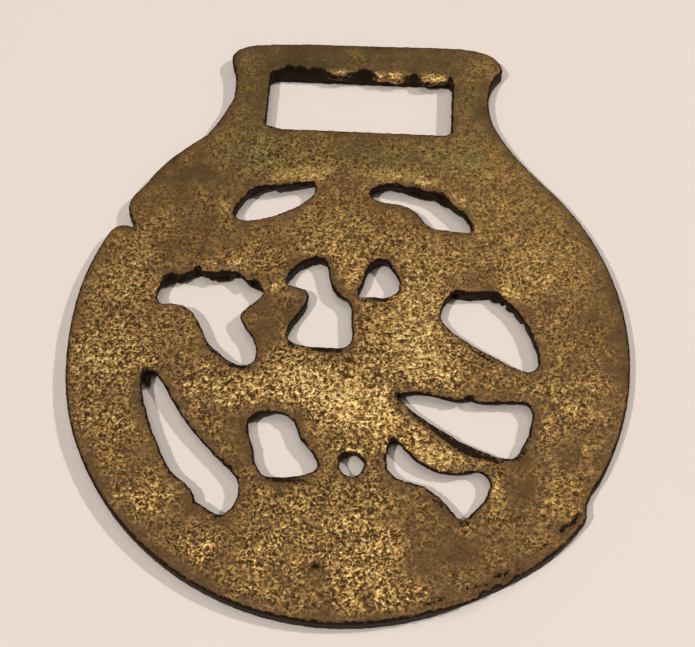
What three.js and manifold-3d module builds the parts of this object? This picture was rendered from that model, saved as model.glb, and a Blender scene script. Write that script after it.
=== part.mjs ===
// Horse brass: one flat casting with a round pierced body, sloping shoulders and a wide
// hanger with a strap slot. It lies on its smooth front, with its rough-cast back up.
// Millimetres. +Z is up, +Y points to the hanger and +X to the right of the back.
// Outlines are drawn from the middle of the round body, and the finished casting is then
// moved so that its origin is under the middle of its bounding box.

import * as THREE from "three";
import { mergeVertices } from "three/addons/utils/BufferGeometryUtils.js";
import Module from "manifold-3d";

const wasm = await Module();
wasm.setup();

// ---- Driving dimensions ----------------------------------------------------------------

const BODY_RADIUS = 38; // the round body, 76 mm across
const THICKNESS = 3.1; // front to back
const TOP_EDGE = 51.0; // the hanger's top edge, above the middle of the body
const RIM_EDGE = 0.35; // small chamfer round the outer edge, on both faces
const LIP_DEPTH = 0.4; // how deep the worn lip round each opening goes
const CUT_PAST = 1; // how far a cutter runs past both faces

const SLOT_LEFT = -14.3; // the strap slot takes a strap one inch wide
const SLOT_RIGHT = 13.4;
const SLOT_BOTTOM = 34.8;
const SLOT_TOP = 45.8;
const SLOT_CORNER = 0.7;
const SLOT_LOW_CORNER = 2.2; // the one corner left thick, at the bottom left

const BOLT_HOLE_X = 1.65; // small round hole below the middle
const BOLT_HOLE_Y = -17.4;
const BOLT_HOLE_RADIUS = 1.7;

const SWELL = 1.2; // the rim stands out by this much at the lower right
const SWELL_START = -32.5; // degrees from +X; it begins at a step
const SWELL_FULL = -36;
const SWELL_FADE = -40; // from here it runs out gently
const SWELL_END = -64;
const STEP_DIP = 0.3; // the rim dips in by this much just before the step
const STEP_DIP_AT = -31.5;
const STEP_DIP_WIDTH = 1.8;
const FLAT = 0.28; // the rim is a little flat on the left
const FLAT_AT = -178;
const FLAT_WIDTH = 12;

const ARC_START = 45; // degrees, where the right shoulder leaves the round body
const ARC_END = -205; // degrees, where the round body ends at the cleft on the left
const ARC_STEP = 3;
const OUTLINE_STEP = 1.3; // spacing of the points on a curved stretch
const OPENING_STEP = 1.0;

// ---- Outlines --------------------------------------------------------------------------

const radians = THREE.MathUtils.degToRad;
const smooth = THREE.MathUtils.smoothstep;
const toPoints = (pairs) => pairs.map(([x, y]) => new THREE.Vector2(x, y));

// A smooth bump, 1 at its middle.
const bump = (value, middle, width) => Math.exp(-(((value - middle) / width) ** 2));

// Radius of the rim at an angle: a circle with a flat on the left, and with a dip, a step and
// a swelling at the lower right.
function rimRadius(degrees) {
  const rise = 1 - smooth(degrees, SWELL_FULL, SWELL_START);
  const fall = smooth(degrees, SWELL_END, SWELL_FADE);
  const dip = STEP_DIP * bump(degrees, STEP_DIP_AT, STEP_DIP_WIDTH);
  const flat = FLAT * bump(degrees, FLAT_AT, FLAT_WIDTH);
  return BODY_RADIUS + SWELL * rise * fall - dip - flat;
}

function rimPoint(degrees) {
  const radius = rimRadius(degrees);
  const angle = radians(degrees);
  return new THREE.Vector2(radius * Math.cos(angle), radius * Math.sin(angle));
}

// The round body's rim, clockwise from the right shoulder to the cleft.
function rimPoints() {
  const steps = Math.round((ARC_START - ARC_END) / ARC_STEP);
  const points = [];
  for (let i = 0; i <= steps; i += 1) {
    points.push(rimPoint(THREE.MathUtils.lerp(ARC_START, ARC_END, i / steps)));
  }
  return points;
}

// Points at an even spacing along a smooth open curve, without its first point.
function alongCurve(points, spacing) {
  const curve = new THREE.SplineCurve(points);
  return curve.getSpacedPoints(Math.ceil(curve.getLength() / spacing)).slice(1);
}

// Points at an even spacing round a closed curve that passes through all the pairs.
function closedCurve(pairs, spacing = OPENING_STEP) {
  const corners = pairs.map(([x, y]) => new THREE.Vector3(x, y, 0));
  const curve = new THREE.CatmullRomCurve3(corners, true, "centripetal");
  const points = curve.getSpacedPoints(Math.ceil(curve.getLength() / spacing));
  return points.slice(1).map((point) => new THREE.Vector2(point.x, point.y));
}

// The whole outer outline: the rim, then stretches that meet at the casting's real corners.
function outerOutline() {
  const stretches = [
    // the cleft: over the body's lobe, and down into it
    [[-34.1, 16.7], [-33.1, 17.0], [-32.0, 17.0], [-31.2, 16.7]],
    // the shoulder's lobe, rising out of the cleft
    [[-31.4, 17.9], [-32.1, 19.0], [-32.4, 20.4], [-32.0, 21.9], [-31.0, 23.4], [-30.2, 24.5]],
    // left shoulder
    [[-29.2, 26.3], [-27.4, 28.7], [-25.1, 31.0], [-22.6, 33.2]],
    // left side of the neck
    [[-21.3, 35.3], [-20.1, 38.0], [-19.2, 40.2]],
    [[-19.2, 43.0], [-19.5, 45.5], [-20.1, 47.0]],
    // left horn and the top edge
    [[-20.3, 47.9], [-19.7, 49.1], [-18.3, 49.9], [-16.0, 50.4], [-10.0, 50.8], [0, TOP_EDGE]],
    [[8.0, TOP_EDGE + 0.1], [14.8, TOP_EDGE + 0.1]],
    // right horn
    [[16.8, 50.8], [18.8, 50.1], [20.1, 48.9], [20.7, 47.4]],
    // right side of the neck and right shoulder
    [[20.4, 46.9], [19.6, 45.9], [18.9, 44.1], [18.6, 41.0], [19.2, 37.7], [21.0, 34.2],
      [23.4, 30.8], [25.4, 28.5]],
  ];
  const outline = rimPoints();
  for (const stretch of stretches) {
    const start = outline[outline.length - 1];
    outline.push(...alongCurve([start, ...toPoints(stretch)], OUTLINE_STEP));
  }
  return outline.reverse();
}

// The strap slot: square corners but for the thick one at the bottom left.
function slotOutline() {
  const path = new THREE.Path();
  path.moveTo(SLOT_LEFT, SLOT_TOP - SLOT_CORNER);
  path.lineTo(SLOT_LEFT, SLOT_BOTTOM + SLOT_CORNER);
  path.lineTo(SLOT_LEFT + SLOT_LOW_CORNER, SLOT_BOTTOM);
  path.lineTo(SLOT_RIGHT - SLOT_CORNER, SLOT_BOTTOM);
  path.lineTo(SLOT_RIGHT, SLOT_BOTTOM + SLOT_CORNER);
  path.lineTo(SLOT_RIGHT, SLOT_TOP - SLOT_CORNER);
  path.lineTo(SLOT_RIGHT - SLOT_CORNER, SLOT_TOP);
  path.lineTo(SLOT_LEFT + SLOT_CORNER, SLOT_TOP);
  return path.getPoints();
}

function boltHoleOutline() {
  const path = new THREE.Path();
  path.absarc(BOLT_HOLE_X, BOLT_HOLE_Y, BOLT_HOLE_RADIUS, 0, 2 * Math.PI);
  return path.getSpacedPoints(24).slice(1);
}

// Each opening: its outline at the back; how far its worn lip slopes in (lip); how much wider
// it is at the front (flare), because the pattern drew out of the sand towards the front; and
// how far the front of the opening stands off to one side (lean).
const OPENINGS = {
  strapSlot: { outline: slotOutline(), lip: 0.2, flare: 0.3, lean: [0, -0.5] },
  boltHole: { outline: boltHoleOutline(), lip: 0.1, flare: 0.2, lean: [0, 0.4] },
  leaf: {
    outline: closedCurve([
      [-17.6, 20.0], [-16.6, 22.2], [-14.8, 24.2], [-12.7, 25.0], [-11.8, 24.7], [-9.5, 25.2],
      [-7.2, 25.8], [-5.9, 25.3], [-5.9, 24.0], [-7.4, 22.1], [-10.0, 20.4], [-13.2, 19.1],
      [-15.8, 18.7], [-17.2, 19.2],
    ]),
    lip: 0.2,
    flare: 0.4,
    lean: [0.6, 1.0],
  },
  crescent: {
    outline: closedCurve([
      [1.7, 24.2], [2.6, 25.5], [4.2, 26.0], [7.0, 25.7], [10.3, 25.1], [12.9, 23.9],
      [15.2, 21.8], [16.9, 19.5], [16.8, 18.4], [15.0, 18.3], [12.7, 18.5], [10.9, 18.7],
      [9.9, 19.6], [8.6, 21.3], [6.8, 22.3], [4.0, 22.7], [2.4, 23.2],
    ]),
    lip: 0.25,
    flare: 0.4,
    lean: [-0.3, 0.2],
  },
  boot: {
    outline: closedCurve([
      [-26.7, 5.4], [-26.7, 7.1], [-25.9, 8.6], [-24.2, 9.3], [-22.8, 9.8], [-21.6, 10.3],
      [-20.2, 9.9], [-18.6, 10.0], [-17.2, 10.3], [-15.5, 10.1], [-14.1, 8.8], [-12.7, 8.3],
      [-11.8, 7.3], [-12.5, 6.0], [-14.0, 4.6], [-14.7, 3.5], [-14.2, 2.4], [-13.0, 0.9],
      [-12.1, -1.0], [-12.0, -2.7], [-12.6, -3.8], [-13.8, -4.2], [-15.4, -3.7], [-17.8, -2.0],
      [-19.2, -0.6], [-20.2, 1.6], [-21.7, 3.7], [-23.4, 4.7], [-26.0, 4.7],
    ]),
    lip: 0.25,
    flare: 0.6,
  },
  keyhole: {
    outline: closedCurve([
      [-9.1, 8.7], [-8.9, 10.2], [-7.8, 11.8], [-6.5, 12.9], [-5.0, 13.4], [-3.7, 12.9],
      [-3.0, 11.3], [-2.6, 9.5], [-2.1, 8.1], [-1.1, 7.3], [0.1, 6.6], [0.5, 5.2],
      [0.7, 2.6], [0.8, 0.4], [-0.3, -0.7], [-3.0, -0.9], [-6.6, -0.6], [-8.1, 0.1],
      [-8.3, 1.8], [-7.6, 3.5], [-6.5, 5.1], [-5.9, 6.8], [-6.4, 8.0], [-7.8, 8.3],
    ]),
    lip: 0.25,
    flare: 0.3,
    lean: [0.3, 0],
  },
  smallTriangle: {
    outline: closedCurve([
      [0.9, 7.3], [1.6, 9.2], [2.1, 11.3], [2.9, 12.8], [4.0, 13.5], [5.2, 12.8],
      [6.2, 11.3], [6.9, 9.9], [6.6, 8.3], [5.6, 7.4], [3.6, 7.2], [1.7, 7.1],
    ]),
    lip: 0.15,
    flare: 0.4,
    lean: [0.2, 0.2],
  },
  bigTriangle: {
    outline: closedCurve([
      [12.3, 4.8], [13.0, 7.2], [14.2, 9.0], [16.2, 8.9], [18.2, 9.1], [20.4, 9.1],
      [21.4, 7.9], [22.7, 6.9], [23.7, 5.5], [24.6, 4.2], [25.2, 2.6], [25.8, 1.0],
      [26.1, -0.6], [25.9, -2.3], [24.7, -3.2], [23.0, -2.7], [20.0, -1.2], [16.0, 1.1],
      [13.4, 3.1],
    ]),
    lip: 0.3,
    flare: 0.3,
    lean: [0, -0.3],
  },
  wedge: {
    outline: closedCurve([
      [7.4, -7.8], [7.7, -6.9], [9.6, -6.8], [12.0, -7.0], [14.4, -7.6], [16.6, -7.4],
      [18.0, -7.7], [20.4, -7.6], [22.8, -7.4], [24.7, -7.8], [25.2, -9.0], [24.9, -11.2],
      [24.0, -13.6], [23.0, -15.3], [21.6, -15.7], [19.4, -15.1], [16.1, -13.8],
      [13.1, -12.1], [10.3, -10.3], [8.4, -8.9],
    ]),
    lip: 0.2,
    flare: 0.6,
    lean: [0.2, 0.6],
  },
  bone: {
    outline: closedCurve([
      [6.7, -14.0], [7.8, -14.2], [9.2, -15.7], [11.0, -17.1], [13.2, -17.9], [15.6, -18.0],
      [17.4, -17.5], [18.9, -17.8], [19.7, -19.0], [19.3, -20.7], [18.4, -22.0],
      [17.4, -23.1], [16.3, -24.2], [15.2, -23.6], [13.9, -22.1], [12.2, -20.6],
      [10.2, -19.7], [7.8, -19.1], [6.3, -17.8], [6.1, -16.0],
    ]),
    lip: 0.1,
    flare: 0.7,
    lean: [0.2, 0.5],
  },
  nugget: {
    outline: closedCurve([
      [-12.4, -11.9], [-10.5, -10.8], [-8.4, -10.5], [-6.7, -11.2], [-5.8, -12.4],
      [-5.3, -14.0], [-4.0, -15.4], [-2.8, -17.0], [-2.6, -18.2], [-3.6, -18.9],
      [-5.6, -19.5], [-8.0, -19.7], [-9.9, -19.5], [-10.9, -17.9], [-11.4, -15.8],
      [-12.0, -14.5], [-12.2, -13.2],
    ]),
    lip: 0.15,
    flare: 0.6,
    lean: [0.1, 0.5],
  },
  longCrescent: {
    outline: closedCurve([
      [-27.0, -5.7], [-26.0, -5.3], [-24.6, -6.3], [-23.0, -8.7], [-21.0, -11.7],
      [-18.0, -15.1], [-15.0, -17.9], [-12.9, -20.0], [-12.4, -21.8], [-13.1, -24.0],
      [-14.5, -25.3], [-16.2, -24.6], [-17.7, -23.6], [-19.0, -21.9], [-20.8, -20.3],
      [-22.0, -19.3], [-23.1, -17.5], [-24.8, -14.2], [-26.4, -10.2], [-27.2, -7.4],
    ]),
    lip: 0.2,
    flare: 0.7,
    lean: [-0.3, 0],
  },
};

// ---- Solids ----------------------------------------------------------------------------

// The outline moved outwards, at right angles to itself, by a distance.
function grown(outline, distance) {
  const count = outline.length;
  return outline.map((point, i) => {
    const before = outline[(i + count - 1) % count];
    const after = outline[(i + 1) % count];
    const along = after.clone().sub(before).normalize();
    return new THREE.Vector2(point.x + along.y * distance, point.y - along.x * distance);
  });
}

// A closed solid from one anticlockwise outline repeated at several levels, bottom first.
// A level is [height, growth, shift in x, shift in y].
function stack(outline, levels) {
  const positions = [];
  const triangles = [];
  const count = outline.length;
  const rings = levels.map(([height, growth, shiftX = 0, shiftY = 0]) => {
    const shift = new THREE.Vector2(shiftX, shiftY);
    const ring = grown(outline, growth).map((point) => point.add(shift));
    ring.forEach((point) => positions.push(point.x, point.y, height));
    return ring;
  });
  for (let level = 1; level < rings.length; level += 1) {
    const low = (level - 1) * count;
    const high = level * count;
    for (let i = 0; i < count; i += 1) {
      const next = (i + 1) % count;
      triangles.push(low + i, low + next, high + next, low + i, high + next, high + i);
    }
  }
  const top = (rings.length - 1) * count;
  for (const [a, b, c] of THREE.ShapeUtils.triangulateShape(rings[0], [])) {
    triangles.push(a, c, b);
  }
  for (const [a, b, c] of THREE.ShapeUtils.triangulateShape(rings.at(-1), [])) {
    triangles.push(top + a, top + b, top + c);
  }
  const geometry = new THREE.BufferGeometry();
  geometry.setAttribute("position", new THREE.Float32BufferAttribute(positions, 3));
  geometry.setIndex(triangles);
  return geometry;
}

function toManifold(geometry) {
  const merged = mergeVertices(geometry);
  const vertProperties = new Float32Array(merged.attributes.position.array);
  const triVerts = new Uint32Array(merged.index.array);
  return new wasm.Manifold(new wasm.Mesh({ numProp: 3, vertProperties, triVerts }));
}

function toGeometry(manifold) {
  const mesh = manifold.getMesh();
  const geometry = new THREE.BufferGeometry();
  geometry.setAttribute("position", new THREE.BufferAttribute(mesh.vertProperties, 3));
  geometry.setIndex(new THREE.BufferAttribute(mesh.triVerts, 1));
  geometry.computeVertexNormals();
  return geometry;
}

const anticlockwise = (outline) =>
  (THREE.ShapeUtils.isClockWise(outline) ? outline.slice().reverse() : outline);

// The uncut plate, with a small chamfer round both faces.
function plate() {
  return stack(anticlockwise(outerOutline()), [
    [0, -RIM_EDGE],
    [RIM_EDGE, 0],
    [THICKNESS - RIM_EDGE, 0],
    [THICKNESS, -RIM_EDGE],
  ]);
}

// The solid that an opening takes away: flared towards the front, with a lip at the back.
function cutter({ outline, lip, flare, lean = [0, 0] }) {
  const wallTop = THICKNESS - LIP_DEPTH;
  const slope = (flare + lip) / wallTop;
  const past = 1 + CUT_PAST / wallTop;
  return stack(anticlockwise(outline), [
    [-CUT_PAST, flare + slope * CUT_PAST, lean[0] * past, lean[1] * past],
    [wallTop, -lip],
    [THICKNESS, 0],
    [THICKNESS + CUT_PAST, 0],
  ]);
}

function casting() {
  const cutters = Object.values(OPENINGS).map((opening) => toManifold(cutter(opening)));
  return cutters.reduce((solid, tool) => solid.subtract(tool), toManifold(plate()));
}

// ---- The part --------------------------------------------------------------------------

const brass = new THREE.MeshStandardMaterial({
  name: "tarnished_brass",
  color: 0x8a6a3c,
  metalness: 0.9,
  roughness: 0.5,
});

const brassCasting = new THREE.Mesh(toGeometry(casting()), brass);
brassCasting.name = "brass_casting";

// The origin is under the middle of the casting's bounding box, on the plane it lies on.
const middle = new THREE.Box3().setFromObject(brassCasting).getCenter(new THREE.Vector3());

const horseBrass = new THREE.Group();
horseBrass.name = "horse_brass";
horseBrass.position.set(-middle.x, -middle.y, 0);
horseBrass.add(brassCasting);

export default horseBrass;
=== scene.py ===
"""A sand-cast horse brass, lying on its smooth face with its rough, tarnished back up.

The casting is modelled from the frame's own solid: the sand's hollows and lumps are cut and
added at their places, the whole is remeshed fine, roughened, and finished in rubbed and
tarnished brass. Sizes are metres; the tables below are in millimetres from the middle of the
round body.
"""

import math
import random

import bpy
import numpy as np
from mathutils import Matrix, Vector
from mathutils.kdtree import KDTree


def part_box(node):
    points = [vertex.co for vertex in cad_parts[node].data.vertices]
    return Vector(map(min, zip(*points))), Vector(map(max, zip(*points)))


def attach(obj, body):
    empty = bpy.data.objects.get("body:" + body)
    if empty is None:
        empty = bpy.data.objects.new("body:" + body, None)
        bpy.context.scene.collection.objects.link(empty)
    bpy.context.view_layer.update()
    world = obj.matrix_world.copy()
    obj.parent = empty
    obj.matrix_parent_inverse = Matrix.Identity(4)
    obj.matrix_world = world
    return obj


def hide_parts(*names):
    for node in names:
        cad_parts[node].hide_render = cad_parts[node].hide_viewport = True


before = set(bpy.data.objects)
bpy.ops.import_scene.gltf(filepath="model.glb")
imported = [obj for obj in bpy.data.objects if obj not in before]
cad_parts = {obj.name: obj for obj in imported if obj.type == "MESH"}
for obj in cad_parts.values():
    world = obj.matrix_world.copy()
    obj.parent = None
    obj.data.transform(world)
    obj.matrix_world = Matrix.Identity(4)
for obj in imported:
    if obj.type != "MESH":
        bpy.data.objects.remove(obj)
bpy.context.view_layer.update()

bl_info = {
    "name": "Horse Brass",
    "version": (1, 0, 0),
    "blender": (4, 5, 0),
    "location": "3D View > Sidebar > Horse Brass",
    "description": "Models a sand-cast horse brass and the plain stage that it lies on",
    "category": "Object",
}

MM = 0.001
NODE = "brass_casting"
PIECE = "cast_brass"
BODY = "root"

# ---- The frame's places ------------------------------------------------------------------

LOWEST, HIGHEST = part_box(NODE)
BODY_RADIUS = 38.0 * MM
BODY_MIDDLE = Vector((HIGHEST.x - BODY_RADIUS, LOWEST.y + BODY_RADIUS, 0.0))
THICKNESS = HIGHEST.z
BACK = THICKNESS / MM  # the back face's height, in millimetres

# ---- Places on the casting, in millimetres ----------------------------------------------

# Hollows that the sand left in the walls and in the back:
# middle x, y, z, then half sizes x, y, z, then turn in degrees.
HOLLOWS = [
    # the strap slot's upper wall
    (-13.7, 45.9, 2.5, 0.45, 0.5, 0.9, 0),
    (-11.5, 45.85, 2.6, 0.9, 0.5, 0.9, 0),
    (-9.7, 45.8, 2.6, 0.9, 0.45, 0.9, 0),
    (-7.3, 45.75, 2.6, 1.2, 0.45, 0.9, 0),
    (0.0, 45.7, 2.5, 1.15, 0.55, 0.9, 0),
    (7.1, 45.2, 2.2, 0.7, 0.5, 0.8, 0),
    (11.5, 45.5, 1.6, 1.6, 0.4, 0.9, 0),
    # the leaf's and the crescent's upper walls
    (-9.0, 25.7, 2.6, 0.6, 0.3, 0.5, 15),
    (12.0, 24.6, 2.2, 1.4, 0.4, 0.8, -40),
    # walls that fall away under the lips of the leaf, the crescent and the keyhole
    (-7.6, 26.5, 0.7, 2.2, 0.45, 1.5, 12),
    (15.6, 21.8, 0.7, 1.8, 0.4, 1.5, -45),
    (-0.5, 7.5, 0.7, 1.5, 0.4, 1.5, -38),
    (-9.0, 10.9, 0.7, 0.5, 0.5, 1.2, 40),
    # the boot's upper wall, between its nibs
    (-25.2, 8.9, 2.3, 1.0, 0.5, 0.9, 25),
    (-21.4, 10.5, 1.6, 0.55, 0.6, 1.7, 0),
    (-15.7, 10.4, 1.4, 0.5, 0.8, 1.6, -20),
    (-13.2, 8.6, 2.4, 0.9, 0.5, 0.8, -40),
    # the big triangle's ragged right edge and upper wall
    (14.3, 9.2, 1.5, 0.55, 0.6, 1.6, 0),
    (20.6, 9.2, 2.2, 0.45, 0.4, 1.1, -20),
    (21.5, 8.3, 1.2, 0.5, 0.45, 1.5, -30),
    (22.9, 6.9, 2.3, 0.35, 0.4, 1.0, -30),
    (24.0, 5.3, 2.4, 0.3, 0.5, 1.1, 0),
    (22.5, 7.3, 0.8, 0.6, 0.4, 1.3, -40),
    (24.2, 5.3, 0.8, 0.5, 0.4, 1.3, -55),
    (25.2, 2.7, 2.5, 0.25, 0.5, 0.9, 0),
    # the wedge's left end and its notch
    (7.3, -7.3, 2.4, 0.45, 0.5, 0.8, 0),
    (16.7, -7.3, 2.3, 0.55, 0.4, 1.2, 0),
    # the bone's upper lip, its right side and its ends
    (12.0, -17.3, 2.8, 0.35, 0.3, 0.5, 0),
    (14.6, -17.8, 2.8, 0.4, 0.3, 0.5, 0),
    (16.6, -17.4, 2.8, 0.35, 0.3, 0.5, 0),
    (18.7, -21.5, 2.6, 0.3, 0.5, 0.6, 35),
    (6.9, -13.9, 2.2, 0.45, 0.5, 1.0, -30),
    # the nugget's left nick
    (-11.8, -15.3, 2.8, 0.3, 0.3, 0.6, 0),
    # the long crescent's chip, and its ragged lower end
    (-21.9, -19.9, 2.9, 0.8, 0.22, 0.5, -35),
    (-18.0, -23.2, 2.8, 0.5, 0.25, 0.6, -40),
    (-16.6, -24.4, 2.8, 0.4, 0.2, 0.6, -20),
    # the crevice beside the bolt hole
    (3.35, -18.3, 2.9, 0.6, 0.16, 0.5, 25),
    (3.3, -18.9, 2.95, 0.7, 0.14, 0.4, 25),
    # blow holes in the back
    (-2.0, -31.0, 3.15, 0.7, 0.5, 0.8, 0),
    (15.3, -31.0, 3.0, 0.4, 0.3, 0.6, 0),
    (-3.2, -26.0, 3.15, 0.35, 0.3, 0.6, 0),
    (-2.3, -24.6, 3.15, 0.3, 0.4, 0.6, 0),
    (2.6, -12.2, 3.15, 0.5, 0.16, 0.16, 20),
]

# Lumps and nibs of metal: middle x, y, z, then half sizes x, y, z, then turn in degrees.
LUMPS = [
    # the strap slot's upper wall
    (-12.7, 45.7, 2.0, 0.2, 0.3, 1.1, 0),
    (-4.0, 45.6, 2.1, 1.7, 0.45, 0.8, 0),
    (2.4, 45.5, 2.2, 0.9, 0.5, 0.7, 0),
    (4.8, 45.4, 2.1, 1.2, 0.5, 0.8, 0),
    (9.6, 45.1, 2.1, 1.2, 0.55, 0.8, 0),
    (11.6, 45.3, 2.2, 1.2, 0.5, 0.7, 0),
    # the nibs along the boot's upper wall, between its cusps
    (-24.0, 9.5, 1.1, 1.1, 0.3, 0.5, 10),
    (-18.3, 10.2, 0.9, 1.3, 0.36, 0.6, 0),
    (-19.4, 9.7, 1.9, 0.35, 0.3, 0.7, 0),
    # the keyhole's nibs
    (-4.4, -0.8, 2.4, 0.22, 0.35, 0.4, 0),
    (-3.2, -1.0, 2.3, 0.45, 0.22, 0.5, 0),
    # the crescent's upper wall, thick in the middle of its arc
    (8.8, 25.6, 1.0, 2.6, 0.36, 0.9, -16),
    (12.2, 24.5, 1.0, 1.3, 0.25, 0.9, -38),
    # the long crescent's tip
    (-26.6, -5.9, 1.0, 0.4, 1.15, 0.9, 5),
    # the leaf's lip
    (-12.3, 24.8, 2.4, 0.6, 0.3, 0.5, 15),
    # the big triangle's right edge
    (20.0, 8.8, 1.2, 0.6, 0.35, 0.8, 0),
    (22.2, 7.3, 1.3, 0.35, 0.25, 0.7, -20),
    # the nugget's lower right
    (-4.3, -19.2, 2.4, 0.28, 0.28, 0.4, 0),
    (-5.5, -19.7, 2.4, 0.28, 0.22, 0.4, 0),
    # the ring of metal round the bolt hole, and the flash beside it
    (0.6, -15.6, 3.05, 1.1, 0.16, 0.18, 30),
    (2.6, -15.6, 3.05, 1.0, 0.16, 0.18, -35),
    (3.6, -18.6, 2.95, 0.5, 0.12, 0.25, 25),
]

# The thin flash left along the rim at the lower right: degrees round the body.
FLASH_START = -36.0
FLASH_END = -74.0
FLASH_BEADS = 40
FLASH_OUT = 0.85  # how far outside the round body the flash starts, and then ends
FLASH_IN = -0.05
FLASH_SEED = 7
FLASH_WANDER = 0.12  # how far a bead strays from its line
BEAD_CHANCE = 0.75
BEAD_LONG = (0.4, 0.8)  # half sizes, from and to
BEAD_DEEP = 0.26
BEAD_TALL = (0.2, 0.35)
BEAD_SUNK = 0.1  # how far a bead's middle lies below the back
PIT_CHANCE = 0.55
PIT_INWARDS = (0.5, 1.5)  # how far a pit lies inside its bead
PIT_LONG = (0.5, 1.0)
PIT_DEEP = (0.2, 0.3)
PIT_TALL = (0.5, 0.8)
PIT_TURN = 25  # degrees, how far a pit turns out of the rim's direction

# The rough surface of each blob.
BLOB_GRAIN = 0.7 * MM
BLOB_ROUGHNESS = 0.35 * MM

# How the back sinks below its full height: x, y, half sizes, turn in degrees, millimetres.
SINKS = [
    (17.0, -13.5, 14.0, 10.0, 0, 1.0),
    (-8.0, -15.5, 10.0, 8.0, 0, 0.40),
    (-19.0, -15.0, 7.0, 12.0, 0, 0.40),
    (-3.0, 6.0, 8.0, 8.0, 0, 0.45),
    (20.0, 4.0, 9.0, 8.0, 0, 0.45),
]

# How brightly the back is rubbed, with a painted sheen on its broad bright patches: x, y, half sizes,
# turn in degrees, amount.
RUBBED_AND_SHEEN = [
    (-5.5, -5.5, 5.0, 3.4, -15, 0.74),
    (1.5, -9.0, 5.0, 3.4, -15, 0.74),
    (8.0, 3.5, 4.5, 8.0, 0, 0.54),
    (12.5, -1.5, 4.0, 3.0, 0, 0.30),
    (9.0, -14.5, 5.5, 2.2, -28, 0.44),
    (14.5, -16.0, 3.5, 1.6, -10, 0.30),
    (-3.5, 18.0, 5.5, 3.5, 0, 0.28),
    (-31.0, 10.5, 4.0, 4.5, 0, 0.26),
    (-31.0, -4.0, 6.0, 4.0, 0, 0.26),
    (-17.0, -7.0, 4.0, 2.5, -10, 0.40),
    (21.5, 25.0, 5.0, 6.0, 20, 0.26),
    (25.0, 15.0, 6.0, 5.0, 0, 0.30),
    (11.0, 14.0, 6.0, 4.0, 0, 0.22),
    (15.0, 30.5, 3.0, 2.6, 0, 0.26),
    (-13.5, 30.0, 3.5, 3.0, 0, 0.12),
    (31.0, -5.5, 3.5, 4.0, 0, 0.15),
    (29.0, -21.0, 3.0, 3.0, 0, 0.02),
    (3.5, -29.0, 5.0, 6.5, 0, 0.10),
    (-7.5, -28.0, 5.0, 5.0, 0, 0.08),
    (6.0, -34.0, 3.5, 3.0, 0, 0.10),
    (19.0, 49.0, 1.6, 1.6, 0, 0.20),
]

# Patches where the tarnish is thick and dark, in the same form.
DARKENED = [
    (-25.0, 25.0, 6.0, 7.0, 40, 0.26),
    (1.0, 49.0, 11.0, 2.8, 0, 0.36),
    (-13.0, 48.0, 6.0, 2.4, 0, 0.24),
    (-17.0, 40.0, 2.4, 6.0, 0, 0.18),
    (16.5, 40.0, 2.6, 6.0, 0, 0.14),
    (36.5, 2.0, 3.0, 8.0, 0, 0.24),
    (23.5, -17.5, 3.5, 4.5, 0, 0.24),
    (24.0, -33.0, 6.0, 3.0, 50, 0.22),
    (-35.0, -22.0, 3.0, 8.0, 25, 0.15),
    (-12.0, -12.5, 5.0, 2.5, -20, 0.20),
    (15.0, -29.0, 5.0, 4.5, 0, 0.20),
    (-19.0, -33.0, 6.0, 3.0, -30, 0.12),
    (-22.0, 15.0, 7.0, 3.0, 0, 0.14),
    (-10.5, 4.5, 2.6, 4.0, 0, 0.18),
    (5.5, 19.5, 2.5, 2.0, 0, 0.10),
    (20.0, -4.0, 5.0, 2.0, -30, 0.12),
    (30.0, 6.0, 3.0, 6.0, 0, 0.10),
    (17.0, -27.0, 6.0, 3.0, -40, 0.10),
]

# Painted highlights along lips that round over and catch the lights, in the same form.
LIP_HIGHLIGHTS = [
    (3.8, 45.3, 2.8, 0.7, 0, 0.9),
    (10.5, 45.2, 2.2, 0.7, 0, 0.8),
    (-4.0, 45.6, 1.8, 0.5, 0, 0.6),
    (-18.5, 20.5, 0.8, 1.4, 20, 0.4),
    (-10.0, 8.6, 1.7, 0.8, 25, 0.8),
    (0.6, 11.0, 0.6, 2.0, -20, 0.7),
    (-8.8, 1.5, 0.5, 1.8, 10, 0.5),
    (-4.5, 14.1, 2.2, 0.5, 0, 0.5),
    (-6.5, 27.1, 2.6, 1.1, 12, 0.9),
    (-11.0, 26.3, 1.8, 0.7, 12, 0.6),
    (4.5, 27.3, 3.2, 1.0, 0, 0.9),
    (9.5, 26.5, 2.4, 0.6, -12, 0.7),
    (14.5, 24.0, 2.2, 0.6, -45, 0.7),
    (1.0, 25.0, 0.7, 1.4, 0, 0.4),
    (17.4, 19.5, 0.8, 1.4, 0, 0.5),
    (-16.0, 11.4, 1.2, 0.8, 0, 0.8),
    (-21.0, 11.2, 1.8, 0.4, 0, 0.5),
    (22.0, 9.4, 1.6, 1.2, -40, 0.5),
    (-27.8, 7.0, 0.9, 1.8, 0, 0.3),
    (20.5, -19.5, 0.8, 2.0, 0, 0.7),
    (16.8, -25.0, 0.9, 0.7, 0, 0.4),
    (-26.6, -4.2, 1.0, 0.9, 0, 0.4),
    (1.6, -15.3, 2.0, 0.5, 0, 0.5),
]
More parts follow.
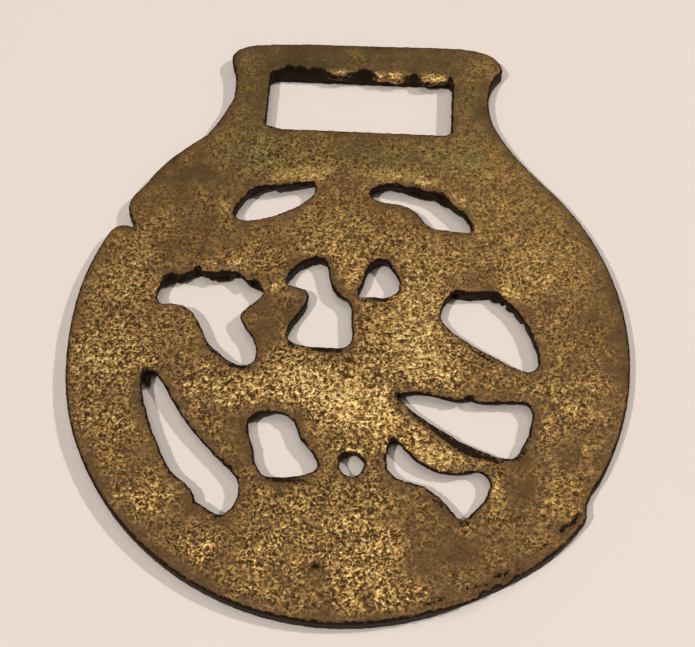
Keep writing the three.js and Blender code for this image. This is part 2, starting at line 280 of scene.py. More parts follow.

# Burnt sand and dirt caught along the lips, with painted shade where a lip curves down out of the
# light, in the same form.
GRIME_AND_SHADE = [
    # the wedge's lower lip and left end
    (9.9, -10.2, 2.0, 0.3, -38, 0.8),
    (13.2, -12.3, 2.0, 0.4, -32, 1.0),
    (16.4, -14.1, 2.2, 0.65, -26, 1.2),
    (19.8, -15.4, 2.2, 0.4, -14, 0.9),
    (23.6, -14.6, 0.5, 1.4, -35, 0.7),
    (7.3, -7.7, 0.5, 0.6, 0, 0.9),
    # the nugget's, the keyhole's, the boot's and the small triangle's lower lips
    (-7.0, -19.9, 3.4, 0.45, -2, 1.0),
    (-3.0, -1.05, 3.0, 0.4, 0, 1.0),
    (-7.6, -0.4, 0.9, 0.5, -30, 0.8),
    (-14.4, -4.0, 1.9, 0.5, -14, 1.0),
    (-18.3, -1.7, 1.6, 0.4, -45, 0.8),
    (3.8, 7.0, 2.6, 0.35, 3, 0.9),
    # the long crescent's upper tip and lower end
    (-26.6, -5.4, 0.8, 0.7, 0, 0.8),
    (-15.0, -25.4, 1.6, 0.4, 20, 0.7),
    # the bone's lower end, and the big triangle's lower lip
    (16.4, -24.5, 0.9, 0.4, 0, 0.9),
    (13.0, -21.9, 2.2, 0.3, -42, 0.6),
    (18.5, -0.8, 3.5, 0.3, -30, 0.7),
    # pits and stains on the back
    (0.8, -27.6, 0.6, 0.4, 0, 0.6),
    (-1.6, -30.2, 0.5, 0.4, 0, 0.6),
]

CREVICE_GRIME_AND_SHADE = 0.8  # and painted shade with grime in the crevices along the rim how much of a pit's length and depth the painted shade and grime fill
CREVICE_LONG = 0.9  # how much of a pit's length and depth the grime fills
CREVICE_DEEP = 0.8

# Greenish patches of tarnish, in the same form.
VERDIGRIS = [
    (-14.0, 30.5, 6.0, 3.5, 0, 0.9),
    (-24.0, 27.0, 5.0, 5.0, 40, 0.3),
    (3.0, 31.0, 9.0, 2.8, 0, 0.8),
    (15.0, 31.0, 5.0, 3.0, 0, 0.6),
    (-8.0, 47.5, 10.0, 2.8, 0, 0.7),
    (10.0, 48.5, 9.0, 2.6, 0, 0.5),
    (-17.0, 40.0, 2.6, 7.0, 0, 0.6),
    (16.5, 40.0, 2.8, 7.0, 0, 0.6),
]

# Which way a surface faces, from 0 for a wall to 1 for the back or the front, and where a
# kind of surface starts and is full.
WALL_FACING = (0.3, 0.9)
FLAT_FACING = (0.55, 0.95)
FRONT_FACING = (0.5, 0.9)
EDGE_FACING = 0.45  # anything that faces up less than this bounds the back
THIN_FACING = -0.97  # the front's flat faces face down more than this
THIN_HEIGHT = 0.3 * MM  # and lie below this height

# Where the walls of the openings lie, the rest being the rim.
RIM_BAND = 2.0  # the rim's width
SLOT_REACH = 15.5  # the strap slot's walls lie within this of the middle line
SLOT_FROM = (33.0, 34.0)  # above these heights
SLOT_TO = 48.0  # and below this one

# How far each kind of edge darkening, soot with painted shade, reaches over the back, in millimetres.
SOOT_SHADE_FULL = 0.14
SOOT_SHADE_END = 0.62
SUNK_START = 0.3  # how far below the back a surface starts to take soot and painted shade
SUNK_END = 0.65
WORN_START = 0.3
WORN_END = 2.2
WORN_LOSS = 0.22  # how much less the back is rubbed at its very edge
RUBBED_EVENLY = 0.24  # how much the back is rubbed between the patches
LIP_HIGHLIGHT_RISE = (0.8, 1.8)  # a painted lip highlight starts and is full at these heights
FRONT_RUBBED = 0.42  # the smooth front is rubbed evenly

# The sand's grain stands out most at the lower left, and less towards the hanger and the right.
COARSEST = 1.12
FINER_UP = (-5.0, 35.0, 0.4)  # from and to this height, and how much it calms
FINER_RIGHT = (-10.0, 34.0, 0.27)

# ---- Small tools ---------------------------------------------------------------------------


def select_only(thing):
    """Make one object the only selected and the active one."""
    bpy.ops.object.select_all(action="DESELECT")
    thing.select_set(True)
    bpy.context.view_layer.objects.active = thing


def apply_modifier(thing, kind, **values):
    """Add one modifier, set its values and apply it."""
    modifier = thing.modifiers.new(kind.title(), kind)
    for name, value in values.items():
        setattr(modifier, name, value)
    select_only(thing)
    bpy.ops.object.modifier_apply(modifier=modifier.name)


def join(things, name):
    """Join several objects into one."""
    select_only(things[0])
    for thing in things:
        thing.select_set(True)
    bpy.ops.object.join()
    joined = bpy.context.view_layer.objects.active
    joined.name = name
    return joined


def body_point(x, y, z=0.0):
    """A point given in millimetres from the middle of the round body."""
    return Vector((BODY_MIDDLE.x + x * MM, BODY_MIDDLE.y + y * MM, z * MM))


def clouds(name, grain, depth=1):
    """A seeded cloud pattern for the displace modifier."""
    texture = bpy.data.textures.get(name) or bpy.data.textures.new(name, "CLOUDS")
    texture.noise_scale = grain
    texture.noise_depth = depth
    texture.noise_basis = "ORIGINAL_PERLIN"
    return texture


def positions(mesh):
    """The mesh's vertices, in millimetres from the middle of the round body."""
    flat = np.empty(len(mesh.vertices) * 3, np.float32)
    mesh.vertices.foreach_get("co", flat)
    return (flat.reshape(-1, 3) - np.array(BODY_MIDDLE)) / MM


def normals(mesh):
    """The vertex normals."""
    flat = np.empty(len(mesh.vertices) * 3, np.float32)
    mesh.vertices.foreach_get("normal", flat)
    return flat.reshape(-1, 3)


def patches_at(points, patches):
    """How strongly soft oval patches reach each point."""
    total = np.zeros(len(points))
    for x, y, wide, tall, turn, amount in patches:
        cosine, sine = math.cos(math.radians(turn)), math.sin(math.radians(turn))
        right, up = points[:, 0] - x, points[:, 1] - y
        along = (right * cosine + up * sine) / wide
        across = (up * cosine - right * sine) / tall
        total += amount * np.exp(-(along**2 + across**2))
    return total


def ramp(values, low, high):
    """Smoothly from 0 at low to 1 at high."""
    share = np.clip((values - low) / (high - low), 0.0, 1.0)
    return share * share * (3.0 - 2.0 * share)


def set_group(thing, name, weights):
    """Write a vertex group."""
    group = thing.vertex_groups.get(name) or thing.vertex_groups.new(name=name)
    for index in np.flatnonzero(weights > 0.001).tolist():
        group.add((index,), float(weights[index]), "REPLACE")


def set_attribute(mesh, name, values):
    """Write one number for each vertex, for the material to read."""
    attribute = mesh.attributes.new(name, "FLOAT", "POINT")
    attribute.data.foreach_set("value", values.astype(np.float32))


# ---- The casting ---------------------------------------------------------------------------


def solid_copy(node, name):
    """A merged copy of a frame solid's mesh, in an object of its own."""
    copy = bpy.data.objects.new(name, node.data.copy())
    bpy.context.scene.collection.objects.link(copy)
    copy.data.materials.clear()
    select_only(copy)
    bpy.ops.object.mode_set(mode="EDIT")
    bpy.ops.mesh.select_all(action="SELECT")
    bpy.ops.mesh.remove_doubles(threshold=0.002 * MM)
    bpy.ops.mesh.normals_make_consistent(inside=False)
    bpy.ops.object.mode_set(mode="OBJECT")
    return copy


def blob(x, y, z, wide, deep, tall, turn):
    """One rough oval blob, whose place ends up in its mesh."""
    bpy.ops.object.select_all(action="DESELECT")
    bpy.ops.mesh.primitive_ico_sphere_add(
        subdivisions=3,
        radius=1.0,
        location=body_point(x, y, z),
        rotation=(0.0, 0.0, math.radians(turn)),
        scale=(wide * MM, deep * MM, tall * MM),
    )
    bpy.ops.object.transform_apply(location=True, rotation=True, scale=True)
    made = bpy.context.view_layer.objects.active
    apply_modifier(
        made,
        "DISPLACE",
        texture=clouds("blob_roughness", BLOB_GRAIN),
        texture_coords="GLOBAL",
        strength=BLOB_ROUGHNESS,
        mid_level=0.5,
    )
    return made


def rim_flash():
    """Beads of a broken flash along the rim, and the crevice's pits behind them."""
    draw = random.Random(FLASH_SEED)
    beads = []
    pits = []
    for i in range(FLASH_BEADS):
        share = i / (FLASH_BEADS - 1)
        angle = math.radians(FLASH_START + (FLASH_END - FLASH_START) * share)
        out = BODY_RADIUS / MM + FLASH_OUT + (FLASH_IN - FLASH_OUT) * share
        out += draw.uniform(-FLASH_WANDER, FLASH_WANDER)
        along = math.degrees(angle) + 90.0
        x, y = math.cos(angle), math.sin(angle)
        if draw.random() < BEAD_CHANCE:
            long = draw.uniform(*BEAD_LONG)
            tall = draw.uniform(*BEAD_TALL)
            beads.append((out * x, out * y, BACK - BEAD_SUNK, long, BEAD_DEEP, tall, along))
        if draw.random() < PIT_CHANCE:
            inner = out - draw.uniform(*PIT_INWARDS)
            long = draw.uniform(*PIT_LONG)
            deep = draw.uniform(*PIT_DEEP)
            tall = draw.uniform(*PIT_TALL)
            turn = along + draw.uniform(-PIT_TURN, PIT_TURN)
            pits.append((inner * x, inner * y, BACK, long, deep, tall, turn))
    return beads, pits


def rough_out(name):
    """The frame's solid with its hollows cut and its lumps added."""
    beads, pits = rim_flash()
    casting = solid_copy(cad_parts[NODE], name)
    cutter = join([blob(*row) for row in HOLLOWS + pits], "hollows")
    apply_modifier(casting, "BOOLEAN", operation="DIFFERENCE", object=cutter, use_self=True)
    bpy.data.objects.remove(cutter)
    lumps = [blob(*row) for row in LUMPS + beads]
    return join([casting, *lumps], name)


def roughen(casting, settings):
    """Give the surfaces their cast unevenness and the walls their ragged faces."""
    points = positions(casting.data)
    facing = normals(casting.data)[:, 2]
    walls = 1.0 - ramp(np.abs(facing), *WALL_FACING)
    from_middle = np.hypot(points[:, 0], points[:, 1])
    inside = ramp(BODY_RADIUS / MM - RIM_BAND - from_middle, 0.0, 1.0)
    slot = ramp(SLOT_REACH - np.abs(points[:, 0]), 0.0, 1.0) * ramp(points[:, 1], *SLOT_FROM)
    slot *= ramp(SLOT_TO - points[:, 1], 0.0, 1.0)
    inside = np.maximum(inside, slot)
    height = np.clip(points[:, 2] / BACK, 0.0, 1.0)
    set_group(casting, "back", ramp(facing, *FLAT_FACING))
    set_group(casting, "walls", walls * inside)
    set_group(casting, "rim", walls * (1.0 - inside))
    set_group(casting, "front", ramp(-facing, *FLAT_FACING))
    set_group(casting, "sink", patches_at(points, SINKS) * height)
    lean = settings.sink_lean
    # pattern, its size in millimetres, its depth, strength, middle, where it acts, direction
    relief = [
        ("swells", 7.0, 1, settings.swell_height, 0.5, "back", "Z"),
        ("sand", 1.1, 2, settings.sand_height, 0.5, "back", "NORMAL"),
        ("crags", 1.3, 1, settings.crag_depth, 0.5, "walls", "NORMAL"),
        ("chatter", 0.6, 1, settings.crag_depth * 0.6, 0.5, "walls", "NORMAL"),
        ("nicks", 0.7, 1, settings.crag_depth * 0.4, -0.7, "rim", "NORMAL"),
        ("face_wear", 9.0, 1, settings.swell_height * 0.5, 1.0, "front", "NORMAL"),
        (None, 0.0, 0, -MM, 0.0, "sink", "Z"),
        (None, 0.0, 0, lean * MM, 0.0, "sink", "Y"),
    ]
    for name, grain, depth, strength, level, group, direction in relief:
        apply_modifier(
            casting,
            "DISPLACE",
            texture=clouds(name, grain * MM, depth) if name else None,
            texture_coords="GLOBAL" if name else "LOCAL",
            strength=strength,
            mid_level=level,
            vertex_group=group,
            direction=direction,
        )


def thin_front(casting, share):
    """Thin the mesh of the smooth front, which needs no fine detail."""
    mesh = casting.data
    middles = np.empty(len(mesh.polygons) * 3, np.float32)
    mesh.polygons.foreach_get("center", middles)
    facing = np.empty(len(mesh.polygons) * 3, np.float32)
    mesh.polygons.foreach_get("normal", facing)
    down = facing.reshape(-1, 3)[:, 2] < THIN_FACING
    low = middles.reshape(-1, 3)[:, 2] < THIN_HEIGHT
    select_only(casting)
    bpy.ops.object.mode_set(mode="EDIT")
    bpy.ops.mesh.select_mode(type="FACE")
    bpy.ops.mesh.select_all(action="DESELECT")
    bpy.ops.object.mode_set(mode="OBJECT")
    mesh.polygons.foreach_set("select", down & low)
    bpy.ops.object.mode_set(mode="EDIT")
    bpy.ops.mesh.decimate(ratio=share)
    bpy.ops.object.mode_set(mode="OBJECT")


def rest_on_floor(mesh):
    """Nothing reaches below the plane that the brass lies on."""
    flat = np.empty(len(mesh.vertices) * 3, np.float32)
    mesh.vertices.foreach_get("co", flat)
    places = flat.reshape(-1, 3)
    places[:, 2] = np.maximum(places[:, 2], 0.0)
    mesh.vertices.foreach_set("co", places.ravel())
    mesh.update()


def edge_distance(points, facing):
    """How far each vertex of the back is from the nearest wall, in millimetres."""
    walls = np.flatnonzero(facing < EDGE_FACING)
    tree = KDTree(len(walls))
    for place, index in enumerate(walls.tolist()):
        tree.insert(points[index], place)
    tree.balance()
    distance = np.zeros(len(points))
    for index in np.flatnonzero(facing >= EDGE_FACING).tolist():
        distance[index] = tree.find(points[index])[2]
    return distance


def mark_finish(mesh):
    """Write the numbers that the material reads: rubbing with its painted sheen, coarseness, painted
    lip highlights, verdigris, and soot with painted shade.
    """
    points = positions(mesh)
    facing = normals(mesh)[:, 2]
    edge = edge_distance(points, facing)
    lip_highlights = np.clip(patches_at(points, LIP_HIGHLIGHTS), 0.0, 1.0)
    lip_highlights *= ramp(points[:, 2], *LIP_HIGHLIGHT_RISE)
    rubbed = RUBBED_EVENLY + patches_at(points, RUBBED_AND_SHEEN) - patches_at(points, DARKENED)
    rubbed -= WORN_LOSS * (1.0 - ramp(edge, WORN_START, WORN_END)) * (1.0 - lip_highlights)
    # Soot and painted shade: near-black on the walls, along each lip where it curves down out of the
    # light, and in hollows sunk below the back.
    level = BACK - patches_at(points, SINKS)
    sunk = ramp(level - points[:, 2], SUNK_START, SUNK_END)
    soot_and_shade = np.maximum(1.0 - ramp(edge, SOOT_SHADE_FULL, SOOT_SHADE_END), sunk)
    crevices = [
        (x, y, long * CREVICE_LONG, deep * CREVICE_DEEP, turn, CREVICE_GRIME_AND_SHADE)
        for x, y, _, long, deep, _, turn in rim_flash()[1]
    ]
    soot_and_shade = np.maximum(soot_and_shade, np.clip(patches_at(points, GRIME_AND_SHADE + crevices), 0.0, 1.0))
    front = ramp(-facing, *FRONT_FACING)
    coarse = COARSEST - FINER_UP[2] * ramp(points[:, 1], *FINER_UP[:2])
    coarse -= FINER_RIGHT[2] * ramp(points[:, 0], *FINER_RIGHT[:2])
    coarse = np.maximum(coarse, lip_highlights)
    set_attribute(mesh, "rubbed", np.where(front > 0.5, FRONT_RUBBED, rubbed))
    set_attribute(mesh, "coarse", coarse)
    set_attribute(mesh, "lip_highlight", lip_highlights)
    set_attribute(mesh, "verdigris", np.clip(patches_at(points, VERDIGRIS), 0.0, 1.0))
    set_attribute(mesh, "soot_and_shade", soot_and_shade * (1.0 - front) * (1.0 - lip_highlights))


# ---- The finish ----------------------------------------------------------------------------

# Sizes of the patterns, in grains.
STROKE_SIZE = 1.5
FINE_SIZE = 0.6
CLUSTER_SIZE = 4.5
PATCH_SIZE = 7.0
CLOUD_SIZE = 17.0

# How much each pattern adds to the rubbing with its painted sheen and lip highlights, to the grain's
# ridges and painted glints, and to the tone.
LIP_HIGHLIGHT_LIFT = 0.8
CLOUD_RUB = 0.6
PATCH_RUB = 0.7
STROKE_WIDTH = 0.16
STROKE_RIDGE = 0.14
GRAIN_RIDGE = 0.9
FINE_RIDGE = 0.5
LIP_HIGHLIGHT_TONE = 0.07
CLUSTER_TONE = 0.1

# The tone of metal that isn't rubbed, and how much full rubbing, with its painted sheen, lightens it.
DULL_TONE = 0.31
RUBBED_AND_SHEEN_TONE = 0.24
TONE_STOPS = (0.17, 0.31, 0.42, 0.52, 0.62, 0.76)  # from the darkest brown to bright gold

# Fades, each as from, to, value at from and value at to.
CONTRAST_SPAN = (-0.1, 0.5)
LEAST_CONTRAST = 0.14
VERDIGRIS_FADE = (0.25, 0.55, 0.3, 1.0)
RED_FADE = (0.52, 0.7, 0.0, 0.5)
# The soot and painted shade: how ragged its edge is, where it fades in, and how much it dulls the
# shine.
SOOT_SHADE_RAGGED = 1.6
SOOT_SHADE_SPAN = (0.35, 0.7)
SOOT_SHADE_SHINE = (0.2, 0.04)
METAL_FADE = (0.3, 0.6, 0.35, 0.8)
ROUGHNESS_FADE = (0.3, 0.6, 0.62, 0.46)


class Graph:
    """Builds a material's nodes, one named pattern or mix at a time."""

    def __init__(self, name):
        self.material = bpy.data.materials.new(name)
        self.material.use_nodes = True
        self.nodes = self.material.node_tree.nodes
        self.links = self.material.node_tree.links
        self.shader = self.nodes["Principled BSDF"]
        self.place = self.nodes.new("ShaderNodeTexCoord").outputs["Object"]

    def feed(self, socket, value):
        """Link a socket, or set it to a plain value."""
        if isinstance(value, bpy.types.NodeSocket):
            self.links.new(value, socket)
        else:
            socket.default_value = value

    def noise(self, grain, detail=2.0, roughness=0.5, distortion=0.0):
        """A cloud pattern whose features are about grain metres across."""
        node = self.nodes.new("ShaderNodeTexNoise")
        self.links.new(self.place, node.inputs["Vector"])
        node.inputs["Scale"].default_value = 1.0 / grain
        node.inputs["Detail"].default_value = detail
        node.inputs["Roughness"].default_value = roughness
        node.inputs["Distortion"].default_value = distortion
        return node.outputs["Fac"]

    def attribute(self, name):
        """A number written on the mesh."""
        node = self.nodes.new("ShaderNodeAttribute")
        node.attribute_name = name
        return node.outputs["Fac"]

    def math(self, operation, *values):
        """One sum on numbers or sockets."""
        node = self.nodes.new("ShaderNodeMath")
        node.operation = operation
        for socket, value in zip(node.inputs, values):
            self.feed(socket, value)
        return node.outputs[0]

    def add_swing(self, pattern, amount, base):
        """Add a pattern's swing about its middle to a base value."""
        return self.math("MULTIPLY_ADD", self.math("SUBTRACT", pattern, 0.5), amount, base)

    def fade(self, value, low, high, start=0.0, end=1.0):
        """Smoothly from start, at low, to end, at high."""
        node = self.nodes.new("ShaderNodeMapRange")
        node.interpolation_type = "SMOOTHSTEP"
        for name, number in zip(
            ("Value", "From Min", "From Max", "To Min", "To Max"), (value, low, high, start, end)
        ):
            self.feed(node.inputs[name], number)
        return node.outputs["Result"]

    def mix(self, share, first, second, blend="MIX"):
        """One colour over another."""
        node = self.nodes.new("ShaderNodeMix")
        node.data_type = "RGBA"
        node.blend_type = blend
        node.clamp_factor = True
        self.feed(node.inputs[0], share)
        for socket, colour in ((node.inputs[6], first), (node.inputs[7], second)):
            self.feed(socket, colour if isinstance(colour, bpy.types.NodeSocket) else (*colour, 1.0))
        return node.outputs[2]

    def ladder(self, value, steps):
        """A colour for every value, from a few colours set at their values."""
        node = self.nodes.new("ShaderNodeValToRGB")
        self.links.new(value, node.inputs["Fac"])
        stops = node.color_ramp.elements
        while len(stops) < len(steps):
            stops.new(0.5)
        for stop, (place, colour) in zip(stops, steps):
            stop.position = place
            stop.color = (*colour, 1.0)
        return node.outputs["Color"]

    def bump(self, height, depth, under=None):
        """Relief too fine for the mesh."""
        node = self.nodes.new("ShaderNodeBump")
        node.inputs["Distance"].default_value = depth
        self.feed(node.inputs["Height"], height)
        if under is not None:
            self.links.new(under, node.inputs["Normal"])
        return node.outputs["Normal"]


def tarnished_brass(finish):
    """Brass with brown tarnish, rubbed to gold with painted glints on its grains, painted highlights
    on some lips, and soot with painted shade on its walls and in its hollows.
    """
    graph = Graph("tarnished_brass")
    grain = graph.noise(finish.grain_size, 1.0, 0.5, 0.4)
    strokes = graph.noise(finish.grain_size * STROKE_SIZE, 0.0, 0.5, 0.8)
    fine = graph.noise(finish.grain_size * FINE_SIZE, 0.0)
    clusters = graph.noise(finish.grain_size * CLUSTER_SIZE, 2.0, 0.5)
    patches = graph.noise(finish.grain_size * PATCH_SIZE, 1.0, 0.5)
    clouding = graph.noise(finish.grain_size * CLOUD_SIZE, 2.0, 0.5)
    # Painted lip highlights lift the rubbing here and the tone further down.
    lip_highlight = graph.attribute("lip_highlight")
    rubbed = graph.math("MULTIPLY_ADD", lip_highlight, LIP_HIGHLIGHT_LIFT, graph.attribute("rubbed"))
    rubbed = graph.add_swing(clouding, CLOUD_RUB, rubbed)
    rubbed = graph.add_swing(patches, PATCH_RUB, rubbed)

    # Gold stands in short crooked strokes on the grains, painted glints with dark tarnish in the gaps
    # between them.
    offset = graph.math("ABSOLUTE", graph.math("SUBTRACT", strokes, 0.5))
    ridges_and_glints = graph.fade(offset, 0.0, STROKE_WIDTH, STROKE_RIDGE, -STROKE_RIDGE)
    ridges_and_glints = graph.add_swing(grain, GRAIN_RIDGE, ridges_and_glints)
    ridges_and_glints = graph.add_swing(fine, FINE_RIDGE, ridges_and_glints)

    # The mean tone rises with rubbing and its painted sheen, and so does the contrast of the grain's
    # painted glints.
    contrast = graph.fade(rubbed, *CONTRAST_SPAN, LEAST_CONTRAST, finish.grain_contrast)
    contrast = graph.math("MULTIPLY", contrast, graph.attribute("coarse"))
    tone = graph.math("MULTIPLY_ADD", rubbed, RUBBED_AND_SHEEN_TONE, DULL_TONE)
    tone = graph.math("MULTIPLY_ADD", ridges_and_glints, contrast, tone)
    tone = graph.math("MULTIPLY_ADD", lip_highlight, LIP_HIGHLIGHT_TONE, tone)
    tone = graph.add_swing(clusters, CLUSTER_TONE, tone)

    browns = (finish.pit_brown, finish.dark_brown, finish.brown)
    golds = (finish.ochre, finish.gold, finish.bright_gold)
    colour = graph.ladder(tone, tuple(zip(TONE_STOPS, browns + golds)))
    cover = graph.fade(clusters, *VERDIGRIS_FADE)
    green = graph.math("MULTIPLY", graph.attribute("verdigris"), cover)
    colour = graph.mix(green, colour, finish.verdigris, "MULTIPLY")
    redness = graph.fade(patches, *RED_FADE)
    colour = graph.mix(redness, colour, finish.red_tint, "MULTIPLY")
    # Soot and painted shade darken the walls, the lips and the hollows to near black.
    ragged = graph.add_swing(grain, SOOT_SHADE_RAGGED, graph.attribute("soot_and_shade"))
    colour = graph.mix(graph.fade(ragged, *SOOT_SHADE_SPAN), colour, finish.soot_and_shade)

    graph.feed(graph.shader.inputs["Base Color"], colour)
    graph.feed(graph.shader.inputs["Metallic"], graph.fade(tone, *METAL_FADE))
    graph.feed(graph.shader.inputs["Roughness"], graph.fade(tone, *ROUGHNESS_FADE))
    shine = graph.fade(ragged, *SOOT_SHADE_SPAN, *SOOT_SHADE_SHINE)
    graph.feed(graph.shader.inputs["Specular IOR Level"], shine)
    relief = graph.bump(clusters, finish.cluster_height)
    relief = graph.bump(ridges_and_glints, finish.grain_height, relief)
    graph.feed(graph.shader.inputs["Normal"], relief)
    return graph.material


# ---- Settings ------------------------------------------------------------------------------


def colour_setting(name, description, default):
    return bpy.props.FloatVectorProperty(
        name=name, description=description, default=default, subtype="COLOR", min=0.0, max=1.0
    )


def length_setting(name, description, default):
    return bpy.props.FloatProperty(
        name=name, description=description, default=default, unit="LENGTH", precision=5
    )


def angle_setting(name, description, default):
    return bpy.props.FloatProperty(
        name=name, description=description, default=math.radians(default), subtype="ANGLE"
    )


class HorseBrassCasting(bpy.types.PropertyGroup):
    """Sizes of the casting's own roughness."""

    mesh_step: length_setting("Mesh Step", "Size of the remeshed faces", 0.28 * MM)
    swell_height: length_setting("Swells", "Height of the back's broad unevenness", 0.30 * MM)
    sand_height: length_setting("Sand", "Height of the sand's grain on the back", 0.16 * MM)
    crag_depth: length_setting("Crags", "Depth of the crags in the opening walls", 0.35 * MM)
    sink_lean: bpy.props.FloatProperty(
        name="Sink Lean",
        description="How far the back leans towards the hanger for each unit that it sinks",
        default=0.52,
    )
    front_share: bpy.props.FloatProperty(
        name="Front Share",
        description="Share of its faces that the smooth front keeps",
        default=0.10,
        min=0.01,
        max=1.0,
        subtype="FACTOR",
    )


class HorseBrassFinish(bpy.types.PropertyGroup):
    """Colours and grain of the tarnished brass."""

    pit_brown: colour_setting("Pit Brown", "Tarnish in the deepest hollows", (0.050, 0.024, 0.006))
    dark_brown: colour_setting("Dark Brown", "Thick tarnish", (0.155, 0.082, 0.027))
    brown: colour_setting("Brown", "Thin tarnish", (0.31, 0.170, 0.050))
    ochre: colour_setting("Ochre", "Lightly rubbed metal", (0.48, 0.280, 0.078))
    gold: colour_setting("Gold", "Rubbed metal", (0.70, 0.455, 0.145))
    # Painted glints and lip highlights reach this colour, as well as the brightest rubbed metal.
    bright_gold: colour_setting("Bright Gold", "Grains rubbed brightest", (1.0, 0.72, 0.30))
    verdigris: colour_setting("Verdigris", "Tint of the greenish tarnish", (0.74, 0.98, 1.0))
    red_tint: colour_setting("Red Tint", "Tint of the redder tarnish", (1.0, 0.88, 0.85))
    # Soot and painted shade on the walls, along the lips and in the hollows.
    soot_and_shade: colour_setting("Soot", "Burnt sand and dirt on the walls", (0.022, 0.013, 0.007))
    grain_size: length_setting("Grain", "Size of the rubbed grains", 0.50 * MM)
    grain_contrast: bpy.props.FloatProperty(
        name="Grain Contrast", description="How far the grain lightens and darkens", default=1.0
    )
    grain_height: length_setting("Grain Height", "Relief of the grains", 0.05 * MM)
    cluster_height: length_setting("Cluster Height", "Relief of clusters of grains", 0.08 * MM)


class HorseBrassStage(bpy.types.PropertyGroup):
    """The floor, the lights and the camera."""

    floor_colour: colour_setting("Floor", "The pale floor", (0.86, 0.745, 0.655))
    floor_size: length_setting("Floor Size", "Side of the floor", 6.0)
    sky_colour: colour_setting("Sky", "Colour of the soft light all round", (1.0, 0.985, 0.97))
    sky_strength: bpy.props.FloatProperty(
        name="Sky Strength", description="Strength of the soft light all round", default=0.12
    )
    light_distance: length_setting("Light Distance", "From the brass to each light", 1.0)
    light_size: length_setting("Light Size", "Across each side light", 0.045)
    right_power: bpy.props.FloatProperty(
        name="Right Light", description="Power of the light from the right", default=3.8
    )
    right_height: angle_setting("Right Height", "The right light's height above the floor", 51.7)
    right_turn: angle_setting("Right Turn", "The right light's turn from +X towards +Y", 12.0)
    left_power: bpy.props.FloatProperty(
        name="Left Light", description="Power of the light from the left", default=4.0
    )
    left_height: angle_setting("Left Height", "The left light's height above the floor", 59.0)
    left_turn: angle_setting("Left Turn", "The left light's turn from +X towards +Y", 223.0)
    top_power: bpy.props.FloatProperty(
        name="Top Light", description="Power of the wide light overhead", default=2.3
    )
    top_size: length_setting("Top Size", "Across the wide light overhead", 0.6)
    lens: bpy.props.FloatProperty(
        name="Lens", description="Focal length of the camera", default=67.34, subtype="DISTANCE_CAMERA"
    )
    camera_distance: length_setting("Distance", "From the camera to the back", 176.98 * MM)
    camera_tilt: angle_setting("Tilt", "The camera's lean from straight above", 27.37)
    camera_turn: angle_setting("Turn", "The camera's turn round the brass", 4.63)
    camera_roll: angle_setting("Roll", "The camera's roll about its own axis", -1.335)
    aim_right: length_setting("Aim Right", "Where it looks, right of the body's middle", -0.049 * MM)
    aim_up: length_setting("Aim Up", "Where it looks, up from the body's middle", 2.976 * MM)


# ---- Operators -----------------------------------------------------------------------------


class HORSE_BRASS_OT_casting(bpy.types.Operator):
    """Model the casting from the frame's solid and finish it in tarnished brass"""

    bl_idname = "horse_brass.casting"
    bl_label = "Casting"

    def execute(self, context):
        settings = context.scene.horse_brass_casting
        casting = rough_out(PIECE)
        apply_modifier(casting, "REMESH", mode="VOXEL", voxel_size=settings.mesh_step)
        roughen(casting, settings)
        rest_on_floor(casting.data)
        thin_front(casting, settings.front_share)
        casting.vertex_groups.clear()
        mark_finish(casting.data)
        select_only(casting)
        bpy.ops.object.shade_smooth()
        casting.data.materials.append(tarnished_brass(context.scene.horse_brass_finish))
        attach(casting, BODY)
        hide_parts(NODE)
        return {"FINISHED"}


FLOOR_MOTTLE = 40 * MM  # size of the floor's faint mottling
FLOOR_DARKER = 0.97  # and how dark it gets
FLOOR_ROUGHNESS = 0.9
SENSOR_WIDTH = 36.0
CLIP_NEAR = 0.01
CLIP_FAR = 100.0


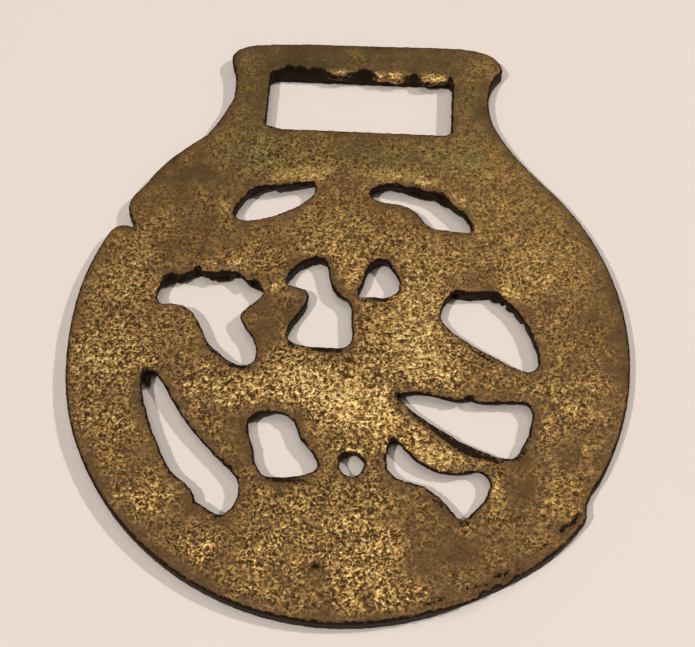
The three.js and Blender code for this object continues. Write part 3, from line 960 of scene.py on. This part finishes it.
class HORSE_BRASS_OT_stage(bpy.types.Operator):
    """Lay the pale floor and set the lights and the camera"""

    bl_idname = "horse_brass.stage"
    bl_label = "Stage"

    def execute(self, context):
        stage = context.scene.horse_brass_stage
        self.lay_floor(stage)
        small, wide = stage.light_size, stage.top_size
        self.add_light(stage, "right", stage.right_power, small, stage.right_height, stage.right_turn)
        self.add_light(stage, "left", stage.left_power, small, stage.left_height, stage.left_turn)
        self.add_light(stage, "top", stage.top_power, wide, math.pi / 2.0, 0.0)
        self.light_sky(context.scene, stage)
        self.place_camera(context.scene, stage)
        context.scene.view_settings.view_transform = "Standard"
        return {"FINISHED"}

    def lay_floor(self, stage):
        """The pale floor, faintly mottled."""
        bpy.ops.object.select_all(action="DESELECT")
        bpy.ops.mesh.primitive_plane_add(size=stage.floor_size)
        floor = bpy.context.view_layer.objects.active
        floor.name = "floor"
        graph = Graph("pale_floor")
        mottle = graph.noise(FLOOR_MOTTLE, 3.0)
        darker = [channel * FLOOR_DARKER for channel in stage.floor_colour]
        colour = graph.mix(mottle, stage.floor_colour, darker)
        graph.feed(graph.shader.inputs["Base Color"], colour)
        graph.feed(graph.shader.inputs["Roughness"], FLOOR_ROUGHNESS)
        floor.data.materials.append(graph.material)

    def add_light(self, stage, name, power, size, height, turn):
        """One soft round light that faces the brass."""
        direction = Vector(
            (math.cos(height) * math.cos(turn), math.cos(height) * math.sin(turn), math.sin(height))
        )
        data = bpy.data.lights.new("light_" + name, "AREA")
        data.energy = power
        data.shape = "DISK"
        data.size = size
        light = bpy.data.objects.new("light_" + name, data)
        light.location = direction * stage.light_distance
        light.rotation_euler = direction.to_track_quat("Z", "Y").to_euler()
        bpy.context.scene.collection.objects.link(light)

    def light_sky(self, scene, stage):
        """The soft light all round."""
        world = bpy.data.worlds.new("soft_light")
        world.use_nodes = True
        background = world.node_tree.nodes["Background"]
        background.inputs["Color"].default_value = (*stage.sky_colour, 1.0)
        background.inputs["Strength"].default_value = stage.sky_strength
        scene.world = world

    def place_camera(self, scene, stage):
        """The camera, leaning over the brass as it lies."""
        data = bpy.data.cameras.new("camera")
        data.lens = stage.lens
        data.sensor_width = SENSOR_WIDTH
        data.clip_start = CLIP_NEAR
        data.clip_end = CLIP_FAR
        camera = bpy.data.objects.new("camera", data)
        turn = (
            Matrix.Rotation(stage.camera_turn, 4, "Z")
            @ Matrix.Rotation(stage.camera_tilt, 4, "X")
            @ Matrix.Rotation(stage.camera_roll, 4, "Z")
        )
        aim = BODY_MIDDLE + Vector((stage.aim_right, stage.aim_up, THICKNESS))
        away = turn @ Vector((0.0, 0.0, stage.camera_distance))
        camera.matrix_world = Matrix.Translation(aim + away) @ turn
        scene.collection.objects.link(camera)
        scene.camera = camera


class HORSE_BRASS_PT_panel(bpy.types.Panel):
    """The steps that make the horse brass"""

    bl_idname = "HORSE_BRASS_PT_panel"
    bl_label = "Horse Brass"
    bl_space_type = "VIEW_3D"
    bl_region_type = "UI"
    bl_category = "Horse Brass"

    def draw(self, context):
        for operator, settings in STEPS:
            box = self.layout.box()
            box.operator(operator.bl_idname)
            for name in settings:
                group = getattr(context.scene, name)
                for key in group.__annotations__:
                    box.prop(group, key)


SETTINGS = {
    "horse_brass_casting": HorseBrassCasting,
    "horse_brass_finish": HorseBrassFinish,
    "horse_brass_stage": HorseBrassStage,
}
STEPS = [
    (HORSE_BRASS_OT_casting, ("horse_brass_casting", "horse_brass_finish")),
    (HORSE_BRASS_OT_stage, ("horse_brass_stage",)),
]


def register():
    for group in SETTINGS.values():
        bpy.utils.register_class(group)
    for name, group in SETTINGS.items():
        setattr(bpy.types.Scene, name, bpy.props.PointerProperty(type=group))
    for operator, _ in STEPS:
        bpy.utils.register_class(operator)
    bpy.utils.register_class(HORSE_BRASS_PT_panel)


def unregister():
    bpy.utils.unregister_class(HORSE_BRASS_PT_panel)
    for operator, _ in reversed(STEPS):
        bpy.utils.unregister_class(operator)
    for name, group in SETTINGS.items():
        delattr(bpy.types.Scene, name)
        bpy.utils.unregister_class(group)


def main():
    register()
    bpy.ops.horse_brass.casting()
    bpy.ops.horse_brass.stage()


if __name__ == "__main__":
    main()
